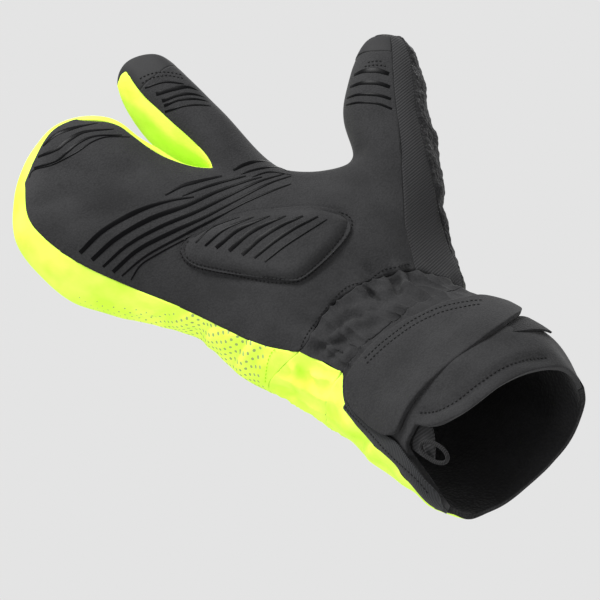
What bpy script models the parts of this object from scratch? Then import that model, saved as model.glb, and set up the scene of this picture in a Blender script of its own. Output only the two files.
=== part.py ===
"""Lobster claw mitt, right hand, palm side towards -Y, fingers towards +Z.

Origin: centre of the mouth of the cuff, where the wrist goes in.
+X is the thumb side, -Y the palm side, +Z runs up the hand to the tips.

The hand is one smooth skin worked out from tables of sections. A section is a
closed ring of stations: U on the little-finger side, F0..F5 across the palm,
R on the thumb side, B5..B0 across the back. Past the row "crotch" the ring
splits in a wide lobe and an index finger; the thumb grows from the R side
between the rows "thumb_low" and "web". The skin is then cut along its seams in
panels, each a closed shell of its own with a wall and a small gap to the next.

Table units: x in 100ths of HAND_WIDTH, y in 50ths of HAND_DEPTH, z in 300ths
of MITT_LENGTH, turned to metres by X(), Y() and Z().
"""
import math
import bpy
import numpy as np
from mathutils import Vector
from mathutils.bvhtree import BVHTree

for old in list(bpy.data.objects):
    bpy.data.objects.remove(old, do_unlink=True)

# Named sizes
HAND_WIDTH = 0.100        # across the palm at the knuckles, little finger to index
HAND_DEPTH = 0.050        # through the padded hand, palm to back
MITT_LENGTH = 0.300       # mouth of the cuff to the fingertips, along the mitt
WALL = 0.0026             # shell fabric with its bonded lining
WALL_TURN = 0.42          # largest wall as a share of the radius it turns round
CUFF_WALL = 0.0024
SEAM_GAP = 0.0005         # between two panels that meet at a seam
LAYER_GAP = 0.0004        # between a layer and the fabric it lies on
STRAP_THICK = 0.0024
PAD_THICK = 0.0032
BIND_THICK = 0.0016
GATHER_COUNT = 14         # folds round the elastic wrist band
GATHER_DEPTH = 0.0030


def X(v):
    return v * HAND_WIDTH / 100.0


def Y(v):
    return v * HAND_DEPTH / 50.0


def Z(v):
    return v * MITT_LENGTH / 300.0


# Section tables

# Hand rows. xu,yu,zu: station U; xr,yr,zr: station R; front, back: how far the
# palm and the back stand off the line U-R; lift: how much higher the palm side
# of the row lies than the line, and the back side lower; seam, side: shares of
# the way from U to R at which the palm seam F0 and the thumb seam F5 run.
HAND = [
    # name         xu   yu   zu    xr   yr   zr  front back lift seam side
    ("wrist",     -18,  28, 119,   68,  30,  65,  27,  25,  16, .19, .90),
    ("thumb_low", -16,  30, 134,   86,  29,  83,  30,  25,  15, .10, .92),
    ("thumb_mid", -10,  31, 155,   99,  27, 115,  30,  25,   6, .05, .885),
    ("web",        -9,  31, 177,   84,  26, 162,  27,  24,   2, .05, .945),
    ("crotch",    -17,  28, 203,   90,  18, 199,  24,  23,   0, .09, .945),
]
# Stations F1..F4 and B1..B4 as shares from U to R, for the rows in turn.
ACROSS = [
    # 1    2    3    4
    (.31, .50, .71, .81),
    (.27, .50, .72, .83),
    (.27, .50, .71, .80),
    (.27, .50, .74, .86),
    (.27, .50, .75, .86),
]
LIFT_START, LIFT_FULL = .22, .57   # shares between which the palm lift sets in
# Rows of the three-finger lobe above the crotch.
LOBE = [
    # name    xu   yu   zu    xm   ym   zm  front back  seam
    ("l1",   -22,  23, 224,   61,  15, 221,  22,  21,  .15),
    ("l2",   -20,  18, 242,   64,  10, 242,  20,  18,  .15),
    ("l3",   -12,  13, 259,   63,   6, 256,  16,  14,  .16),
    ("l4",     2,   9, 271,   57,   3, 267,  10,   9,  .20),
]
LOBE_TIP = [(19, 7, 277), (40, 5, 277)]
# At the tip the neon rolls over onto the palm side: shifts of its points from the
# rows above, inwards at the seam and outwards beyond it.
TIP_ROLL = [
    ("LU3",   0, -.5, 1.5),
    ("LU4",   1, -1, 1),
    ("LF0_4", 1,  0, -1.5),
    ("LF2_4", 3, -1, 1.5),
    ("LF3_3", -1, 1, -2),
    ("LF3_4", -1, 1, -2),
    ("LC1",   1, -1, 1),
    ("LC2",   2, -1, 0),
]
# Rows of the index finger: m is the side facing the lobe, r the thumb side.
INDEX = [
    # name    xm   ym   zm    xr   yr   zr  front back
    ("i1",    67,  19, 226,   99,  13, 221,  17,  16),
    ("i2",    74,  15, 248,  105,  10, 238,  15,  14),
    ("i3",    83,   7, 261,  107,   7, 250,   8,  14),
]
INDEX_TIP = (97, 5, 263)
# Rings of the thumb: o is the outer side, w the side facing the hand; side and
# rear are the angles of its two seams, 0 outer, 90 palm side.
THUMB = [
    # name    xo   yo   zo    xw   yw   zw  front back  rear side
    ("t1",   104,  25,  91,  101,  23, 140,  19,  19,   32,  80),
    ("t2",   125,  20, 104,  117,  19, 152,  18,  16,   50,  78),
    ("t3",   143,  15, 119,  134,  15, 159,  16,  14,   46,  78),
    ("t4",   158,  11, 131,  149,  12, 163,  13,  12,   44,  79),
    ("t5",   167,  10, 142,  160,  10, 162,   8,   8,   42,  80),
]
THUMB_TIP = (168, 10, 153)
# Rings of cuff and wrist band from the mouth up, same columns as HAND.
CUFF = [
    # name      xu   yu   zu    xr   yr   zr  front back lift
    ("mouth",  -38,   0,  15,   39,   0, -11,  38,  34,  10),
    ("hem",    -39,   4,  26,   51,   3,   4,  38,  36,   9),
    ("low",    -32,  12,  47,   57,  11,  21,  37,  36,   7),
    ("mid",    -26,  20,  64,   62,  20,  38,  35,  34,   6),
    ("top",    -21,  26,  84,   66,  27,  52,  32,  31,   8),
]
# Angle round the cuff and height in cuff rows at which its palm side ends: the
# mouth, and the notch of the vent on the little-finger side.
HEM_CUT = [(-20, 0), (30, 0), (50, .10), (66, .20), (80, .33), (95, .38), (108, .55), (117, .92),
           (122, 1.20), (126, 1.55), (143, 1.55), (146, .90), (150, .30), (155, 0), (200, 0)]
# Seams between black and neon round the cuff: height in rows, little-finger
# side angle, thumb side angle. The last row is where the band carries them on.
CUFF_SEAMS = [(0, 186, -6), (.6, 177, -6), (1, 164, -6), (1.6, 156, -5), (2.5, 156, -4),
              (3.4, 148, -2), (3.8, 136, -1), (4, 128, 0)]
CUFF_SUPER = 2.15
CUFF_SWELL = 3             # 50ths of HAND_DEPTH
BAND_NIP = 0.0012          # how far the elastic draws the band in
BAND_ROWS = 5
PATCH_THICK = 0.0010
# The strap along its length: lower and upper edge in rows of the cuff.
STRAP = [
    # share  low  high
    (0.00, 1.95, 3.30),
    (0.02, 1.74, 3.60),
    (0.07, 1.76, 3.70),
    (0.18, 1.82, 3.72),
    (0.28, 1.79, 3.72),
    (0.37, 1.74, 3.68),
    (0.50, 1.66, 3.62),
    (0.59, 1.60, 3.48),
    (0.68, 1.53, 3.32),
    (0.77, 1.55, 3.15),
    (0.90, 1.72, 2.98),
    (0.97, 1.86, 2.62),
    (1.00, 2.00, 2.45),
]
STRAP_END = 28            # angle at which the tab ends
LOOP_PATCH = [
    # share angle low  high
    (0.0, 57, 1.40, 1.58),
    (0.3, 48, 1.18, 1.75),
    (0.6, 38, 1.10, 1.85),
    (1.0, 20, 1.08, 1.90),
]
GUSSET = [
    # share angle low  high
    (0.0, 143, .70, 1.72),
    (0.5, 134, .92, 1.75),
    (1.0, 123, 1.28, 1.78),
]
GUSSET_THICK = 0.0010
GUSSET_SET_IN = 0.0016     # behind the wall of the cuff, free of its folds
# The pull loop: angle and height of its middle, half width, half length.
PULL_LOOP = (135, .78, 0.0038, 0.0075)
PULL_CORD = 0.0011        # radius of its cord
# Strip along the black-to-neon seam: height in rows, width in degrees.
BINDING = [(0, 22), (.5, 24), (.8, 19), (1, 16), (1.4, 13), (1.7, 14), (2.5, 11), (3.4, 5), (3.7, 4)]
BINDING_TOP = 3.45
# Outline of the palm pad, x and z as in the tables above.
PAD_OUTLINE = [(19, 184), (14, 178), (14, 167), (19, 145), (24, 127), (29, 121), (44, 116), (57, 114),
               (63, 116), (66, 123), (65, 134), (56, 151), (46, 167), (32, 178)]
SUPER = 2.5               # how square the sections are; 2 is an ellipse


# The cage
def stand_off(share):
    """Share of the full depth at a share of the way across a section."""
    return max(0.0, 1.0 - abs(2.0 * share - 1.0) ** SUPER) ** (1.0 / SUPER)


def across(row_u, row_r, share, depth, side, lift=0.0):
    """A point at a share of the way from U to R; side -1 palm, +1 back."""
    u, r = np.array(row_u), np.array(row_r)
    p = u + (r - u) * share
    k = stand_off(share)
    p[1] += side * depth * k
    p[2] -= side * lift * k
    return p


class Cage:
    def __init__(self):
        self.points, self.faces, self.tags, self.names = [], [], [], {}

    def add(self, name, p):
        self.names[name] = len(self.points)
        self.points.append(np.array(p, float))
        return name

    def face(self, tag, *names):
        self.faces.append([self.names[n] for n in names])
        self.tags.append(tag)


def build_cage():
    cage = Cage()
    for i, (name, xu, yu, zu, xr, yr, zr, front, back, lift, seam, side) in enumerate(HAND):
        u, r = (X(xu), Y(yu), Z(zu)), (X(xr), Y(yr), Z(zr))
        shares = [seam, *ACROSS[i], side]
        cage.add(f"U{i}", u)
        if name != "thumb_mid":       # the thumb opens there
            cage.add(f"R{i}", r)
        for j, s in enumerate(shares):
            k = min(max((s - LIFT_START) / (LIFT_FULL - LIFT_START), -.25), 1)
            cage.add(f"F{j}_{i}", across(u, r, s, Y(front), -1, Z(lift) * k))
            cage.add(f"B{j}_{i}", across(u, r, s, Y(back), +1, Z(lift) * .6))
    last = len(HAND) - 1
    # the bridge between lobe and index finger, a little below the crotch row
    f3, b3 = cage.points[cage.names[f"F3_{last}"]], cage.points[cage.names[f"B3_{last}"]]
    cage.add("M_c", (f3 + b3) / 2 + np.array((0, 0, -Z(3))))
    for side in "FB":
        p = cage.points[cage.names[f"{side}3_{last}"]]
        p[1] += Y(7) * (1 if side == "F" else -1)
        p[2] -= Z(8 if side == "F" else 3)
    for i, (name, xu, yu, zu, xm, ym, zm, front, back, seam) in enumerate(LOBE, 1):
        u, m = (X(xu), Y(yu), Z(zu)), (X(xm), Y(ym), Z(zm))
        cage.add(f"LU{i}", u)
        cage.add(f"LM{i}", m)
        for j, s in enumerate((seam, .36, .68, .965)):
            cage.add(f"LF{j}_{i}", across(u, m, s, Y(front), -1))
        for j, s in enumerate((seam, .36, .68, .93)):
            cage.add(f"LB{j}_{i}", across(u, m, s, Y(back), +1))
    for k, p in enumerate(LOBE_TIP, 1):
        cage.add(f"LC{k}", (X(p[0]), Y(p[1]), Z(p[2])))
    for name, dx, dy, dz in TIP_ROLL:
        cage.points[cage.names[name]] += np.array((X(dx), Y(dy), Z(dz)))
    for i, (name, xm, ym, zm, xr, yr, zr, front, back) in enumerate(INDEX, 1):
        m, r = (X(xm), Y(ym), Z(zm)), (X(xr), Y(yr), Z(zr))
        cage.add(f"IM{i}", m)
        cage.add(f"IR{i}", r)
        for j, s in zip((3, 4, 5), (.12, .5, .88)):
            cage.add(f"IB{j}_{i}", across(m, r, s, Y(back), +1))
        for j, s in zip((3, 4, 5), (.26, .56, .88)):
            cage.add(f"IF{j}_{i}", across(m, r, s, Y(front), -1))
    cage.add("IC", (X(INDEX_TIP[0]), Y(INDEX_TIP[1]), Z(INDEX_TIP[2])))
    for i, (name, xo, yo, zo, xw, yw, zw, front, back, rear, side) in enumerate(THUMB, 1):
        o, w = np.array((X(xo), Y(yo), Z(zo))), np.array((X(xw), Y(yw), Z(zw)))
        mid, arm = (o + w) / 2, (o - w) / 2
        for k in range(8):
            a = math.radians(rear if k == 0 else side + (360 + rear - side) / 7 * (k - 1))
            depth = Y(front) if math.sin(a) > 0 else Y(back)
            cage.add(f"T{k}_{i}", mid + arm * math.cos(a) + np.array((0, -depth * math.sin(a), 0)))
    cage.add("TC", (X(THUMB_TIP[0]), Y(THUMB_TIP[1]), Z(THUMB_TIP[2])))

    # faces of the hand
    for i in range(last):
        cage.face("back", f"U{i}", f"F0_{i}", f"F0_{i+1}", f"U{i+1}")
        cage.face("back", f"B0_{i}", f"U{i}", f"U{i+1}", f"B0_{i+1}")
        for j in range(5):
            cage.face("palm", f"F{j}_{i}", f"F{j+1}_{i}", f"F{j+1}_{i+1}", f"F{j}_{i+1}")
            cage.face("back", f"B{j+1}_{i}", f"B{j}_{i}", f"B{j}_{i+1}", f"B{j+1}_{i+1}")
        if i in (1, 2):
            continue              # the thumb grows here
        cage.face("thumb_side" if i == 0 else "palm", f"F5_{i}", f"R{i}", f"R{i+1}", f"F5_{i+1}")
        cage.face("thumb_back" if i == 0 else "back", f"R{i}", f"B5_{i}", f"B5_{i+1}", f"R{i+1}")
    # the lobe
    def lobe(j, side, i):
        if i == 0:
            return {"U": f"U{last}", "M": "M_c"}.get(side) or f"{side}{j}_{last}"
        return {"U": f"LU{i}", "M": f"LM{i}"}.get(side) or f"L{side}{j}_{i}"
    for i in range(len(LOBE)):
        q = lambda tag, a, b: cage.face(tag, lobe(*a, i), lobe(*b, i), lobe(*b, i + 1), lobe(*a, i + 1))
        q("back", (0, "U"), (0, "F"))
        q("back", (0, "B"), (0, "U"))
        for j in range(3):
            q("palm", (j, "F"), (j + 1, "F"))
            q("back", (j + 1, "B"), (j, "B"))
        q("back", (3, "F"), (0, "M"))
        q("back", (0, "M"), (3, "B"))
    n = len(LOBE)
    cage.face("back", f"LU{n}", f"LF0_{n}", f"LF1_{n}", "LC1")
    cage.face("back", "LC1", f"LF1_{n}", f"LF2_{n}", "LC2")
    cage.face("back", "LC2", f"LF2_{n}", f"LF3_{n}", f"LM{n}")
    cage.face("back", f"LB0_{n}", f"LU{n}", "LC1", f"LB1_{n}")
    cage.face("back", f"LB1_{n}", "LC1", "LC2", f"LB2_{n}")
    cage.face("back", f"LB2_{n}", "LC2", f"LM{n}", f"LB3_{n}")
    # the index finger
    def index(j, side, i):
        if i == 0:
            return {"R": f"R{last}", "M": "M_c"}.get(side) or f"{side}{j}_{last}"
        return {"R": f"IR{i}", "M": f"IM{i}"}.get(side) or f"I{side}{j}_{i}"
    n = len(INDEX)
    for i in range(n):
        q = lambda tag, a, b: cage.face(tag, index(*a, i), index(*b, i), index(*b, i + 1), index(*a, i + 1))
        front = "index_touch" if i == n - 1 else "palm"
        q("back", (0, "M"), (3, "F"))
        q(front, (3, "F"), (4, "F"))
        q(front, (4, "F"), (5, "F"))
        q(front, (5, "F"), (0, "R"))
        q("back", (0, "R"), (5, "B"))
        q("back", (5, "B"), (4, "B"))
        q("back", (4, "B"), (3, "B"))
        q("back", (3, "B"), (0, "M"))
    cage.face("index_touch", f"IM{n}", f"IF3_{n}", f"IF4_{n}", "IC")
    cage.face("index_touch", "IC", f"IF4_{n}", f"IF5_{n}", f"IR{n}")
    cage.face("back", f"IB3_{n}", f"IM{n}", "IC", f"IB4_{n}")
    cage.face("back", f"IB4_{n}", "IC", f"IR{n}", f"IB5_{n}")
    # the thumb: stations 0 outer, 2 palm side, 4 web, 6 back
    root = ["R1", "F5_1", "F5_2", "F5_3", "R3", "B5_3", "B5_2", "B5_1"]
    tags = ["thumb_side", "palm", "palm", "palm", "thumb_back", "thumb_back", "thumb_back", "thumb_back"]
    n = len(THUMB)
    for i in range(n):
        a = root if i == 0 else [f"T{k}_{i}" for k in range(8)]
        b = [f"T{k}_{i+1}" for k in range(8)]
        for k in range(8):
            tag = tags[k]
            if i == n - 1 and tag == "palm":
                tag = "thumb_touch"
            m = (k + 1) % 8
            cage.face(tag, a[m], a[k], b[k], b[m])
    cage.face("thumb_side", f"T1_{n}", f"T0_{n}", "TC", f"T2_{n}")
    cage.face("thumb_touch", f"T3_{n}", f"T2_{n}", "TC", f"T4_{n}")
    cage.face("thumb_back", f"T5_{n}", f"T4_{n}", "TC", f"T6_{n}")
    cage.face("thumb_back", f"T7_{n}", f"T6_{n}", "TC", f"T0_{n}")
    return cage


# Smooth skin from a cage
def split_once(P, faces):
    """One step of Catmull-Clark. New points: old ones, edges, faces."""
    n = len(P)
    centre = np.array([P[f].mean(0) for f in faces])
    edges, edge_faces = {}, {}
    for k, f in enumerate(faces):
        for a, b in zip(f, np.roll(f, -1)):
            key = (min(a, b), max(a, b))
            edges.setdefault(key, len(edges))
            edge_faces.setdefault(key, []).append(k)
    E = np.zeros((len(edges), 3))
    S, cnt = np.zeros((n, 3)), np.zeros(n)          # edge midpoints round a point
    Q, fc = np.zeros((n, 3)), np.zeros(n)           # face centres round a point
    rim = {}
    for key, e in edges.items():
        a, b = key
        mid = (P[a] + P[b]) / 2
        fs = edge_faces[key]
        if len(fs) == 2:
            E[e] = (P[a] + P[b] + centre[fs[0]] + centre[fs[1]]) / 4
        else:
            E[e] = mid
            rim.setdefault(a, []).append(b)
            rim.setdefault(b, []).append(a)
        for v in key:
            S[v] += mid
            cnt[v] += 1
    for k, f in enumerate(faces):
        for v in f:
            Q[v] += centre[k]
            fc[v] += 1
    V = (Q / fc[:, None] + 2 * S / cnt[:, None] + (cnt[:, None] - 3) * P) / cnt[:, None]
    for v, ends in rim.items():
        V[v] = .75 * P[v] + .125 * (P[ends[0]] + P[ends[1]])
    new = []
    for k, f in enumerate(faces):
        m = len(f)
        ids = [n + edges[(min(f[i], f[(i + 1) % m]), max(f[i], f[(i + 1) % m]))] for i in range(m)]
        for i in range(m):
            new.append([f[i], ids[i], n + len(edges) + k, ids[i - 1]])
    return np.vstack([V, E, centre]), new


def smooth(P, faces, tags, times):
    for _ in range(times):
        P, faces = split_once(P, [list(f) for f in faces])
        tags = [t for t in tags for _ in range(4)]
    return P, faces, tags


def fit(cage, rounds=7):
    """Move the cage until the smooth skin runs through the table points."""
    want = np.array(cage.points)
    P = want.copy()
    for _ in range(rounds):
        L, _, _ = smooth(P, cage.faces, cage.tags, 2)
        P += 0.85 * (want - L[:len(P)])
    return P


def normals(P, faces):
    N = np.zeros_like(P)
    for f in faces:
        a, b, c, d = (P[i] for i in f)
        w = np.cross(c - a, d - b)
        for i in f:
            N[i] += w
    return N / np.maximum(np.linalg.norm(N, axis=1), 1e-12)[:, None]


def calm(N, faces, times):
    """Evened normals, so that the wall doesn't twist at tight turns."""
    for _ in range(times):
        M = N.copy()
        for f in faces:
            mean = N[f].sum(0)
            for v in f:
                M[v] += mean
        N = M / np.maximum(np.linalg.norm(M, axis=1), 1e-12)[:, None]
    return N


def wall_depth(P, faces, N, wall):
    """Wall at each point, thinner where the skin turns tighter than it allows."""
    bend = np.zeros(len(P))
    near = [set() for _ in P]
    for f in faces:
        for a, b in zip(f, f[1:] + f[:1]):
            for v, w in ((a, b), (b, a)):
                d = P[w] - P[v]
                bend[v] = max(bend[v], -2 * (N[v] @ d) / (d @ d))
                near[v].add(w)
    t = np.minimum(wall, WALL_TURN / np.maximum(bend, 1e-3))
    for _ in range(2):
        t = np.array([min(t[v], (t[v] + t[list(n)].mean()) / 2) if n else t[v] for v, n in enumerate(near)])
    return t


# Materials and mesh makers
MATERIALS = {
    # name:            colour (linear), roughness
    "softshell_black": ((0.030, 0.030, 0.032, 1), 0.85),
    "neon_fabric":     ((0.600, 1.000, 0.045, 1), 0.80),
    "twill_black":     ((0.024, 0.024, 0.026, 1), 0.90),
    "terry_black":     ((0.016, 0.016, 0.018, 1), 1.00),
    "touch_black":     ((0.020, 0.020, 0.022, 1), 0.55),
    "pad_black":       ((0.035, 0.035, 0.038, 1), 0.80),
    "binding_black":   ((0.020, 0.020, 0.021, 1), 0.70),
    "fastener_black":  ((0.045, 0.045, 0.048, 1), 0.75),
}


def material(name):
    mat = bpy.data.materials.get(name)
    if mat is None:
        mat = bpy.data.materials.new(name)
        mat.use_nodes = True
        node = mat.node_tree.nodes["Principled BSDF"]
        colour, rough = MATERIALS[name]
        node.inputs["Base Color"].default_value = colour
        node.inputs["Roughness"].default_value = rough
        mat.diffuse_color = colour
    return mat


mitt = bpy.data.collections.new("lobster_claw_mitt")
bpy.context.scene.collection.children.link(mitt)


def make(name, P, faces, mat):
    mesh = bpy.data.meshes.new(name)
    mesh.from_pydata([tuple(map(float, p)) for p in P], [], faces)
    mesh.validate()
    mesh.update()
    ob = bpy.data.objects.new(name, mesh)
    mitt.objects.link(ob)
    mesh.materials.append(material(mat))
    mesh.shade_smooth()
    mesh.set_sharp_from_angle(angle=math.radians(50))
    return ob


def panel(name, tag, P2, F2, T2, F1, T1, N2, wall, mat):
    """A closed shell: fine outer face, coarser inner face, a wall between."""
    outer = [f for f, t in zip(F2, T2) if t == tag]
    inner = [f for f, t in zip(F1, T1) if t == tag]
    P = P2.copy()
    half = {}
    for f in outer:
        for a, b in zip(f, f[1:] + f[:1]):
            half[(a, b)] = True
    rim = {a: b for (a, b) in half if (b, a) not in half}
    pull, rest = {v: np.zeros(3) for v in rim}, {v: np.zeros(3) for v in rim}
    for f, t in zip(F2, T2):
        c = P2[f].mean(0)
        for v in f:
            if v in pull:
                (pull if t == tag else rest)[v] += c - P2[v]
    before = {b: a for a, b in rim.items()}
    for v, d in pull.items():
        t1, t2 = P2[v] - P2[before[v]], P2[rim[v]] - P2[v]
        t1, t2 = t1 / max(np.linalg.norm(t1), 1e-12), t2 / max(np.linalg.norm(t2), 1e-12)
        mitre = min(1 / max((1 + t1 @ t2) / 2, .01) ** .5, 3)     # keeps the gap even at a corner
        t = (t1 + t2) / max(np.linalg.norm(t1 + t2), 1e-12)
        d = d / max(np.linalg.norm(d), 1e-12) - rest[v] / max(np.linalg.norm(rest[v]), 1e-12)
        side = np.cross(t, N2[v])
        d = side * (d @ side)
        P[v] = P2[v] + d / max(np.linalg.norm(d), 1e-12) * mitre * SEAM_GAP / 2
    ids, points, faces = {}, [], []

    def vid(v, layer):
        key = (v, layer)
        if key not in ids:
            ids[key] = len(points)
            points.append(P[v] - N2[v] * (wall[v] if layer else 0.0))
        return ids[key]
    for f in outer:
        faces.append([vid(v, 0) for v in f])
    coarse = {(a, b) for f in inner for a, b in zip(f, f[1:] + f[:1])}
    for f in inner:
        ring = []
        for a, b in zip(f, f[1:] + f[:1]):
            ring.append(vid(a, 1))
            if (b, a) not in coarse:
                ring.append(vid(rim[a], 1))        # the fine point between a and b
        faces.append(ring[::-1])
    for a, b in rim.items():
        faces.append([vid(a, 0), vid(a, 1), vid(b, 1), vid(b, 0)])
    return make(name, points, faces, mat)


def sheet(name, outer, inner, closed, mat):
    """A closed solid between two grids of points, rows by columns."""
    rows, cols = outer.shape[:2]
    flat = np.vstack([outer.reshape(-1, 3), inner.reshape(-1, 3)])
    k = rows * cols
    faces = []
    at = lambda i, j: i * cols + j % cols
    span = cols if closed else cols - 1
    for i in range(rows - 1):
        for j in range(span):
            q = [at(i, j), at(i, j + 1), at(i + 1, j + 1), at(i + 1, j)]
            faces += [q, [k + v for v in q[::-1]]]
    for j in range(span):
        for i, turn in ((0, 1), (rows - 1, -1)):
            q = [at(i, j + 1), at(i, j), k + at(i, j), k + at(i, j + 1)]
            faces.append(q[::turn])
    if not closed:
        for i in range(rows - 1):
            for j, turn in ((0, -1), (cols - 1, 1)):
                q = [at(i + 1, j), at(i, j), k + at(i, j), k + at(i + 1, j)]
                faces.append(q[::turn])
    return make(name, flat, faces, mat)


# The hand
cage = build_cage()
P0 = fit(cage)
P1, F1, T1 = smooth(P0, cage.faces, cage.tags, 1)
P2, F2, T2 = smooth(P1, F1, T1, 1)
N2 = normals(P2, F2)
depth = wall_depth(P2, F2, N2, WALL)
inward = calm(N2, F2, 5)

for name, tag, mat in (
    ("palm_panel", "palm", "softshell_black"),
    ("back_panel", "back", "neon_fabric"),
    ("thumb_side_panel", "thumb_side", "twill_black"),
    ("thumb_back_panel", "thumb_back", "terry_black"),
    ("index_touch_panel", "index_touch", "touch_black"),
    ("thumb_touch_panel", "thumb_touch", "touch_black"),
):
    panel(name, tag, P2, F2, T2, F1, T1, inward, depth, mat)


# Cuff and wrist band
def spline(table, v):
    """Smooth row between the rows of a table of numbers."""
    t = np.array([row[1:] for row in table], float)
    i = min(int(math.floor(max(v, 0.0))), len(t) - 2)
    f = v - i
    a, b = t[max(i - 1, 0)], t[i]
    c, d = t[i + 1], t[min(i + 2, len(t) - 1)]
    return .5 * ((2 * b) + (c - a) * f + (2 * a - 5 * b + 4 * c - d) * f * f + (3 * b - a - 3 * c + d) * f ** 3)


def cuff_surface(angle, v):
    """Point of the cuff: angle 0 thumb side, 90 palm, 180 little finger, 270 back."""
    xu, yu, zu, xr, yr, zr, front, back, lift = spline(CUFF, v)
    u, r = np.array((X(xu), Y(yu), Z(zu))), np.array((X(xr), Y(yr), Z(zr)))
    a = math.radians(angle)
    c, d = math.cos(a), math.sin(a)
    k = (abs(c) ** CUFF_SUPER + abs(d) ** CUFF_SUPER) ** (-1 / CUFF_SUPER)
    c, d = c * k, d * k
    p = (u + r) / 2 + (r - u) / 2 * c
    p[1] -= Y(front if d > 0 else back) * d
    p[2] += Z(lift) * d
    if d > 0:                      # the palm side swells below the strap
        swell = Y(CUFF_SWELL) * d * math.exp(-((v - .75) / .38) ** 2) * min(max((150 - angle % 360) / 35, 0), 1)
        p[1] -= swell
    return p


def cuff_point(angle, v, out=0.0):
    p = cuff_surface(angle, v)
    if out:
        da = cuff_surface(angle - .5, v) - cuff_surface(angle + .5, v)
        dv = cuff_surface(angle, v + .02) - cuff_surface(angle, v - .02)
        n = np.cross(da, dv)
        p = p + n / np.linalg.norm(n) * out
    return p


def blend(table, t):
    """Read a table of (share, a, b, ...) at share t, straight between rows."""
    t = min(max(t, table[0][0]), table[-1][0])
    for lo, hi in zip(table, table[1:]):
        if t <= hi[0]:
            f = (t - lo[0]) / (hi[0] - lo[0])
            return [a + (b - a) * f for a, b in zip(lo[1:], hi[1:])]
    return list(table[-1][1:])


def cuff_grid(cols, rows, where, out):
    """Points over the cuff; where(s, t) gives angle, height, out(s, t) the lift."""
    return np.array([[cuff_point(*where(j / cols, i / rows), out(j / cols, i / rows))
                      for j in range(cols + 1)] for i in range(rows + 1)])


def hem_height(angle):
    """How far up the palm side of the mouth is cut back, in cuff rows."""
    return blend(HEM_CUT, angle)[0]


# the open edge of the hand, station by station from U over the palm
order = ["U0"] + [f"F{j}_0" for j in range(6)] + ["R0"] + [f"B{j}_0" for j in range(5, -1, -1)]
ring = [cage.names[n] for n in order]
edge_next = {}
for f in F2:
    for a, b in zip(f, f[1:] + f[:1]):
        edge_next[(a, b)] = True
edge_next = {a: b for (a, b) in edge_next if (b, a) not in edge_next}
loop = [ring[0]]
while len(loop) < len(edge_next):
    loop.append(edge_next[loop[-1]])
if loop.index(ring[1]) > len(loop) / 2:
    loop = [loop[0]] + loop[:0:-1]
L = np.array([P2[v] for v in loop])
LN = np.array([N2[v] for v in loop])
u0, r0 = L[0], L[loop.index(cage.names["R0"])]
half = (r0 - u0) / 2
angles = []
for p in L:
    d = p - (u0 + r0) / 2
    c = (d @ half) / (half @ half)
    depth = HAND[0][7] if d[1] < (half * c)[1] else HAND[0][8]
    angles.append(math.degrees(math.atan2(-(d - half * c)[1] / Y(depth), c)) % 360)
angles[0] = 180.0
angles = [a - 360 if a > 359 else a for a in angles]
n_loop = len(loop)
stop = {name: loop.index(cage.names[name]) for name in ("F0_0", "R0")}

around = math.radians(1) * HAND_WIDTH * .42       # cuff arc of one degree
gap_deg = SEAM_GAP / 2 / around


def seams(v):
    """Angles of the two seams of the cuff at a height in rows."""
    table = CUFF_SEAMS[:-1] + [(4, angles[stop["F0_0"]], angles[stop["R0"]])]
    return blend(table, v)


def front_at(s, t):
    def angle(v):
        a, b = seams(v)
        return a - gap_deg + (b - a + 2 * gap_deg) * s ** 1.35
    low = 4.0
    while low > 0 and low > hem_height(angle(low)):
        low -= .01
    v = max(low, 0) + (4.0 - max(low, 0)) * t
    return angle(v), v


def back_at(s, t):
    a, b = seams(4.0 * t)
    a, b = a - 360 + gap_deg, b - gap_deg
    return b + (a - b) * s, 4.0 * t


flat = lambda h: (lambda s, t: h)
sheet("cuff_front", cuff_grid(24, 7, front_at, flat(0)), cuff_grid(24, 7, front_at, flat(-CUFF_WALL)),
      False, "softshell_black")
sheet("cuff_back", cuff_grid(20, 7, back_at, flat(0)), cuff_grid(20, 7, back_at, flat(-CUFF_WALL)),
      False, "neon_fabric")


# the band
def band_point(k, w, out):
    """Point of the band: k stations round the loop, w from cuff 0 to hand 1."""
    i, f = int(math.floor(k)) % n_loop, k - math.floor(k)
    j = (i + 1) % n_loop
    top = L[i] * (1 - f) + L[j] * f
    nrm = LN[i] * (1 - f) + LN[j] * f
    nrm /= np.linalg.norm(nrm)
    a, b = angles[i], angles[j]
    if b - a > 180:
        b -= 360
    if a - b > 180:
        b += 360
    foot = cuff_point(a + (b - a) * f, 4.0)
    foot_n = cuff_point(a + (b - a) * f, 4.0, 1.0) - foot
    n = nrm * w + foot_n * (1 - w)
    n /= np.linalg.norm(n)
    p = foot * (1 - w) + top * w
    hump = math.sin(math.pi * w)
    turn = 2 * math.pi * GATHER_COUNT * k / n_loop
    fold = math.cos(turn + 1.3 * math.sin(2.4 * w + 3 * math.pi * k / n_loop))
    p = p + n * (hump * (-BAND_NIP + GATHER_DEPTH * .5 * fold * (.7 + .3 * math.sin(5 * math.pi * k / n_loop))))
    return p + n * out


def band(name, k0, k1, step, mat):
    cols = int(round((k1 - k0) / step))
    length = float(np.mean([np.linalg.norm(L[i] - cuff_point(angles[i], 4.0)) for i in range(n_loop)]))
    w0 = SEAM_GAP / length
    side = SEAM_GAP / 2 / float(np.linalg.norm(L[1] - L[0]))
    grid = lambda out: np.array([[band_point(k0 + side + (k1 - k0 - 2 * side) * j / cols,
                                             w0 + (1 - 2 * w0) * i / BAND_ROWS, out)
                                  for j in range(cols + 1)] for i in range(BAND_ROWS + 1)])
    sheet(name, grid(0), grid(-CUFF_WALL), False, mat)


band("wrist_band_front", stop["F0_0"], stop["R0"], .6, "softshell_black")
band("wrist_band_back", stop["R0"], n_loop + stop["F0_0"], 1.0, "neon_fabric")

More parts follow.
